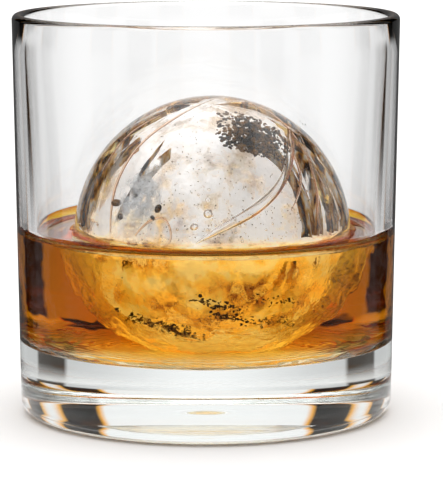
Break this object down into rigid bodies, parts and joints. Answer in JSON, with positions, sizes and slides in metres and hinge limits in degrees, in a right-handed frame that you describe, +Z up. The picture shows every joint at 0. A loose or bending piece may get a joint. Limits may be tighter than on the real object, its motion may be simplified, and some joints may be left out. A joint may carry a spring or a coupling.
{
  "type": "whisky on the rocks",
  "caption": "Thick-based clear glass tumbler of amber whisky with one large ball of clear ice standing out of it.",
  "frame": {"origin": "centre of the ring on which the tumbler stands, at its lowest level", "axes": "+Z up along the tumbler's axis; +X to the side towards which the ice ball is a little off centre; +Y to the back"},
  "size_m": [0.0824, 0.0824, 0.0855],
  "materials": {
    "glass": "clear polished glass",
    "whisky": "clear amber liquid",
    "ice": "wet clear ice with cracks and a cloudy heart"
  },
  "bodies": {
    "root": {"tumbler": "glass", "whisky": "whisky", "ice_ball": "ice"}
  },
  "joints": []
}
